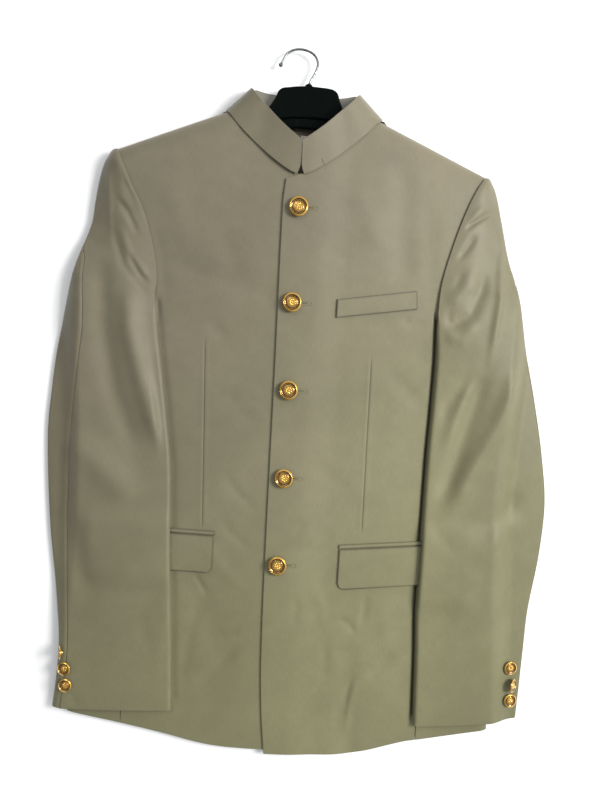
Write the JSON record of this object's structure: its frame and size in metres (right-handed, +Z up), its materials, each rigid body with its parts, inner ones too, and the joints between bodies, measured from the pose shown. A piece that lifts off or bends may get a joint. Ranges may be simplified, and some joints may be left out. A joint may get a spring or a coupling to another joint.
{
  "type": "bandhgala jacket with hanger",
  "caption": "Long-sleeved stand-collar jacket laid flat on its back and buttoned to the neck, with flapped pockets, a breast welt and a coat hanger in its shoulders.",
  "frame": {"origin": "under the middle of the laid garment, on the surface that it lies on", "axes": "+X to the wearer's left, +Y from hem to collar, +Z up from the surface to the front of the jacket"},
  "size_m": [0.6078, 0.849, 0.0457],
  "materials": {
    "suiting": "olive sand suiting with a faint sheen",
    "lining": "smooth figured lining",
    "label": "bare woven tape",
    "gold_metal": "polished gold colour",
    "hanger_plastic": "glossy black",
    "steel_wire": "bright wire"
  },
  "bodies": {
    "root": {"front_under": "suiting", "front_over": "suiting", "back_right": "suiting", "side_panel_right": "suiting", "top_sleeve_right": "suiting", "under_sleeve_right": "suiting", "back_left": "suiting", "side_panel_left": "suiting", "top_sleeve_left": "suiting", "under_sleeve_left": "suiting", "collar_outer": "suiting", "breast_welt": "suiting", "pocket_flap_right": "suiting", "pocket_jetting_right": "suiting", "pocket_flap_left": "suiting", "pocket_jetting_left": "suiting", "collar_lining": "lining", "neck_lining": "lining", "neck_label": "label", "front_button_1": "gold_metal", "front_button_2": "gold_metal", "front_button_3": "gold_metal", "front_button_4": "gold_metal", "front_button_5": "gold_metal", "cuff_button_right_1": "gold_metal", "cuff_button_right_2": "gold_metal", "cuff_button_right_3": "gold_metal", "cuff_button_left_1": "gold_metal", "cuff_button_left_2": "gold_metal", "cuff_button_left_3": "gold_metal", "hanger_body": "hanger_plastic", "hanger_nub": "hanger_plastic", "hanger_hook": "steel_wire", "hook_tip": "steel_wire"}
  },
  "joints": []
}
